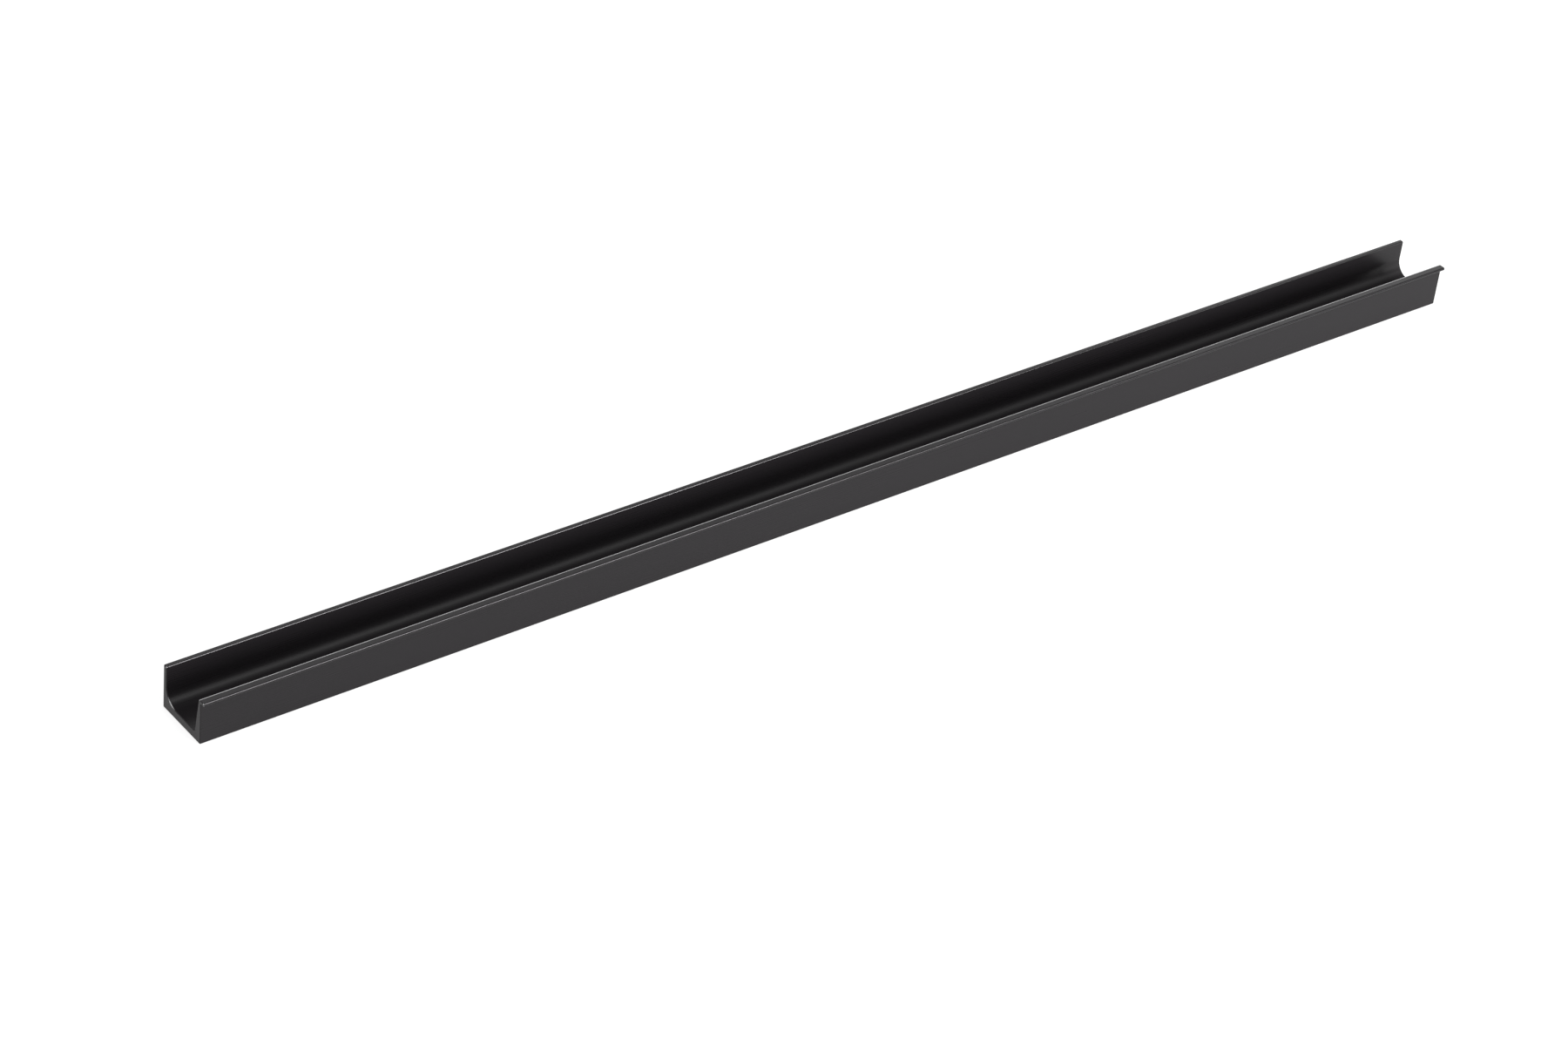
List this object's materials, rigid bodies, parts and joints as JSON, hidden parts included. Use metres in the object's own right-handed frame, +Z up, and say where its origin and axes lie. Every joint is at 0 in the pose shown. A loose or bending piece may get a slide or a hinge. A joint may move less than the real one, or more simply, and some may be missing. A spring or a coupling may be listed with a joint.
{
  "type": "furniture handle profile",
  "caption": "Black edge-grip handle profile for a cabinet or drawer front: a U-shaped finger channel with a thin lip along its front wall.",
  "frame": {"origin": "middle of the length and of the overall depth, on the underside", "axes": "+X along the length, -Y towards the lip at the front, +Z up out of the channel's open side"},
  "size_m": [0.347, 0.0156, 0.0109],
  "materials": {
    "black_aluminium": "satin"
  },
  "bodies": {
    "root": {"handle_profile": "black_aluminium"}
  },
  "joints": []
}
